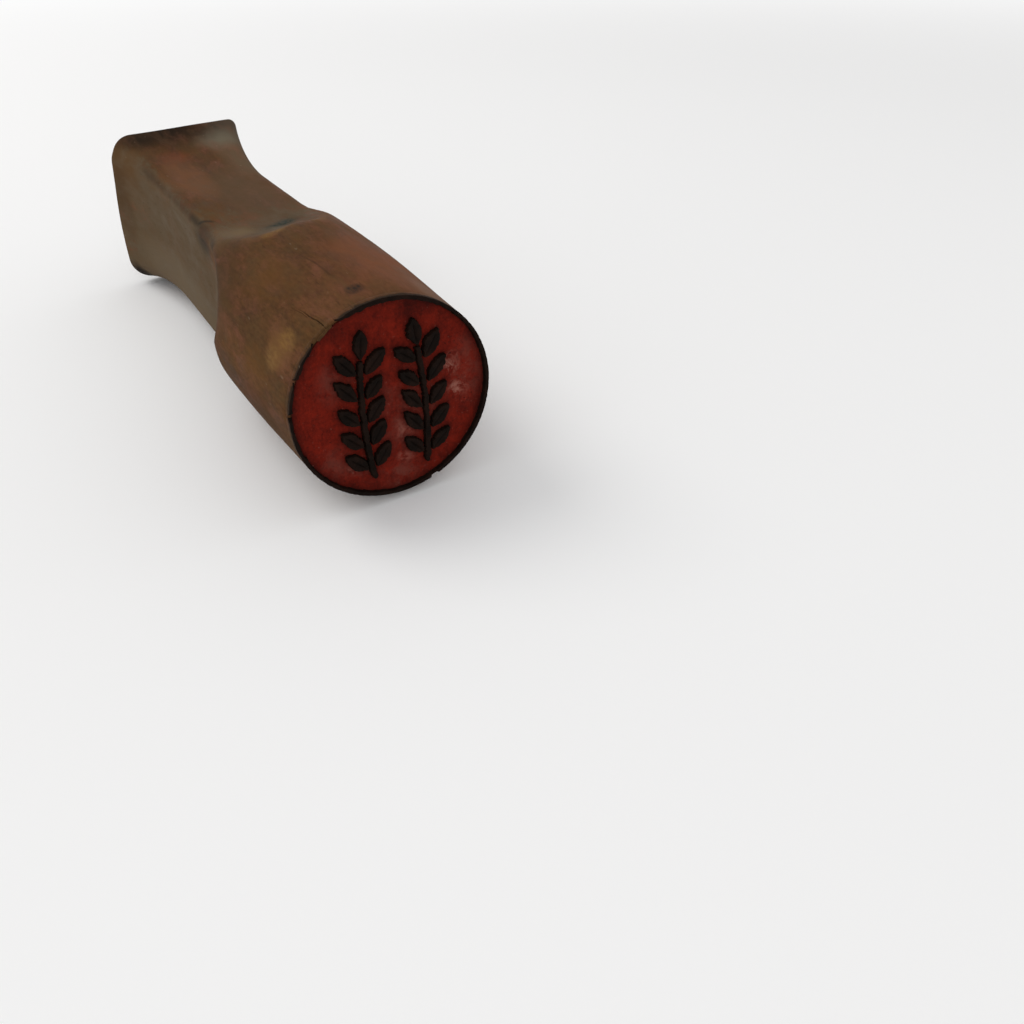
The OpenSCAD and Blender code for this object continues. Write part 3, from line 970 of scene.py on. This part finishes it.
# The border: a thin raised line, worn to a slope along the top, nibbled on the left and broken
rimSpec = {
    "step": 0.5,
    "foot": 1.74,
    "ease": 0.048,
    # By degrees round the face
    "width": {-180: 0.52, -140: 0.64, -95: 0.62, -40: 0.66, 0: 0.66, 40: 0.6, 106: 0.66, 116.5: 0.28,
              124: 0.45, 150: 0.48, 180: 0.52},
    "slope": {-180: 0.06, -60: 0.04, 30: 0.04, 62: 0.1, 90: 0.16, 110: 0.18, 117: 0.08, 180: 0.06},
    # Sizes in mm of the bites, nibbles and frayed edges, and how far they go in
    "bites": {"size": 1.5, "least": 0.1, "inward": 0.4, "down": 0.3},
    "nibble": {"size": 0.9, "share": 0.1, "leftShare": 0.4, "down": 0.03},
    "fray": (0.1, 0.55),
    "rough": (0.16, 0.7),
    "notch": {"at": -70.0, "half": 2.6, "bite": 0.42, "clear": 6},
    "endDrop": (0.75, 0.7),
    # Angles at both ends and how far the top is worn down; the lowest arc is worn down to bare wood
    "pieces": {
        "borderRight": ("rim_main_arc", [(-69.8, 116.5, 0.0)]),
        "borderLower": ("rim_lower_arc", [(173.5, 290.0, 0.0)]),
        "borderWorn": ("rim_worn_arcs", [(117.6, 131.2, 0.7), (132.2, 153.0, 0.1), (154.4, 171.8, 0.05)]),
    },
    "bareDrop": 0.5,
    "woodColumns": 4,
}


def rimArc(fromAngle, toAngle, drop, seed):
    spec = rimSpec
    biting, nibbling, notching = spec["bites"], spec["nibble"], spec["notch"]
    count = int((toAngle - fromAngle) / spec["step"]) + 1
    degrees = np.linspace(fromAngle, toAngle, count)
    fromNotch = wrapped(degrees) - notching["at"]
    angle = np.radians(degrees)
    level = np.zeros(count)
    line = np.stack([faceRadius * np.cos(angle), level, faceRadius * np.sin(angle)], axis=-1)
    leftness = smoothStep(0.1, 0.9, -np.cos(angle + 0.25))
    bites = np.clip(ripple(line, biting["size"], seed) - biting["least"], 0, None) * leftness
    nibble = ripple(line, nibbling["size"], seed + 1)
    width = byAngle(degrees, spec["width"])
    width = width * (1 + (nibbling["share"] + nibbling["leftShare"] * leftness) * nibble)
    slope = byAngle(degrees, spec["slope"])
    # The top falls away at the ends, but not at the notch, which is a bite from outside
    toEnd = np.minimum(degrees - fromAngle, toAngle - degrees) * math.radians(1) * faceRadius
    fall, fallRun = spec["endDrop"]
    endDrop = fall * (1 - smoothStep(0.0, fallRun, toEnd + 0.25 * nibble))
    endDrop = endDrop * (np.abs(fromNotch) > notching["clear"])
    notch = smoothStep(notching["half"], notching["half"] * 0.6, np.abs(fromNotch + 0.6 * nibble))
    top = 0.02 + drop + nibbling["down"] * (nibble + 1) + biting["down"] * bites + endDrop
    outer = faceRadius - 0.01 - 0.3 * smoothStep(0.3, 0.6, drop) + level
    fray = spec["fray"][0] * np.abs(ripple(line, spec["fray"][1], seed + 2))
    worn = outer - biting["inward"] * bites - fray - notching["bite"] * notch
    crest = worn - slope
    rough = spec["rough"][0] * ripple(line, spec["rough"][1], seed + 4)
    inner = np.minimum(crest - 0.16, outer - slope * 0.7 - width + rough)
    foot = spec["foot"] + level
    # Radius and depth round the section: up the outside, over the worn slope and the top, down the inside
    ring = [
        (outer - 0.08, foot), (outer, foot - 0.1), (outer, np.maximum(1.15, top + 0.45)),
        ((outer + worn) / 2, top + slope + 0.2 + 0.5 * notch), (worn, top + slope * 0.9),
        (worn - slope * 0.5, top + slope * 0.35), (crest, top), ((crest + inner) / 2, top - 0.01),
        (inner + spec["ease"], top), (inner, top + 0.1), (inner - 0.06, top * 0.5 + 0.6),
        (inner - 0.14, 1.25 + level), (inner - 0.1, foot),
    ]
    points = np.stack([aroundAxis(r, angle, d) for r, d in ring], axis=1)
    return points, np.repeat(byAngle(degrees, inkReach), len(ring))


for seed, (name, (node, arcs)) in enumerate(rimSpec["pieces"].items()):
    strokes, reaches = zip(*[rimArc(*arc, 60 + 10 * seed + 3 * i) for i, arc in enumerate(arcs)])
    bare = [stroke.shape[1] if drop > rimSpec["bareDrop"] else rimSpec["woodColumns"]
            for stroke, (_, _, drop) in zip(strokes, arcs)]
    points, faces, finishes = joinStrokes(strokes, False, bare)
    makePiece(name, points, faces, [wood, borderInk], node,
              {"inkReach": np.concatenate(reaches)}, finishes)

# Floor, light and camera, in metres
stageSpec = {
    "floorHalf": 4.0,
    "floorColour": "#FAFAFA",
    "floorRoughness": 0.9,
    "tooth": 0.8 * mm,
    "toothBump": (0.05, 0.05 * mm),
    "runOut": (0.35, 1.1),
    "worldColour": "#FFFFFF",
    "worldStrength": 0.66,
    "lamps": {
        "windowBehind": {"place": (-0.55, 0.62, 0.95), "size": 0.8, "power": 4.6, "colour": "#FFFDFA"},
        "softFill": {"place": (-0.3, -0.95, 0.4), "size": 0.9, "power": 2.2, "colour": "#FBFCFF"},
    },
}


# Pale matt paper: to the eye a soft white that takes a shadow and shows no shine
def makeFloor():
    spec = stageSpec
    half = spec["floorHalf"]
    mesh = bpy.data.meshes.new("floor")
    corners = [(-half, -half, 0), (half, -half, 0), (half, half, 0), (-half, half, 0)]
    mesh.from_pydata(corners, [], [(0, 1, 2, 3)])
    floor = newObject("floor", mesh)
    material, add, place = newMaterial("paleMattPaperSweep", 1.0)
    tooth = add(noiseNode, {"Vector": place, "Scale": 1 / spec["tooth"], "Detail": 2.0})
    strength, distance = spec["toothBump"]
    bump = add("ShaderNodeBump", {"Strength": strength, "Distance": distance, "Height": tooth})
    paper = add("ShaderNodeBsdfPrincipled", {
        "Base Color": hexToLinear(spec["floorColour"]), "Roughness": spec["floorRoughness"], "Normal": bump})
    # Away from the stamp the sweep runs out to white
    white = add("ShaderNodeEmission", {"Color": hexToLinear(spec["worldColour"])})
    far = add(vectorNode, [place], operation="LENGTH")
    runOut = add(rangeNode, [far, *spec["runOut"]], **soft)
    sweep = add("ShaderNodeMixShader", [runOut, paper, white])
    add("ShaderNodeOutputMaterial", {"Surface": sweep})
    mesh.materials.append(material)


# A pale room, white where it is seen and dimmer as light on the stamp
def makeWorld():
    world = bpy.data.worlds.new("paleRoom")
    add = newTree(world)
    path = add("ShaderNodeLightPath")
    seen = path.outputs["Is Camera Ray"]
    for ray in ("Is Glossy Ray", "Is Transmission Ray"):
        seen = add(mathNode, [seen, path.outputs[ray]], operation="MAXIMUM")
    strength = add(rangeNode, [seen, 0.0, 1.0, stageSpec["worldStrength"], 1.0])
    sky = add("ShaderNodeBackground", {"Color": hexToLinear(stageSpec["worldColour"]), "Strength": strength})
    add("ShaderNodeOutputWorld", {"Surface": sky})
    bpy.context.scene.world = world


makeFloor()
makeWorld()
for name, lampSpec in stageSpec["lamps"].items():
    data = bpy.data.lights.new(name, "AREA")
    data.shape = "DISK"
    data.size = lampSpec["size"]
    data.energy = lampSpec["power"]
    data.color = hexToLinear(lampSpec["colour"])[:3]
    lamp = newObject(name, data)
    lamp.location = lampSpec["place"]
    lamp.rotation_euler = Vector(lampSpec["place"]).to_track_quat("Z", "Y").to_euler()
print("stage made")

cameraSpec = {
    "place": (-0.04745, -0.18557, 0.0887),
    "turn": (53.545, 1.059, -31.334),
    "lens": 30.15,
    "sensor": 36.0,
    "clipStart": 0.005,
}
cameraData = bpy.data.cameras.new("camera")
cameraData.lens = cameraSpec["lens"]
cameraData.sensor_width = cameraSpec["sensor"]
cameraData.clip_start = cameraSpec["clipStart"]
camera = newObject("camera", cameraData)
camera.location = cameraSpec["place"]
camera.rotation_euler = [math.radians(turn) for turn in cameraSpec["turn"]]
bpy.context.scene.camera = camera
bpy.context.scene.view_settings.view_transform = "Standard"
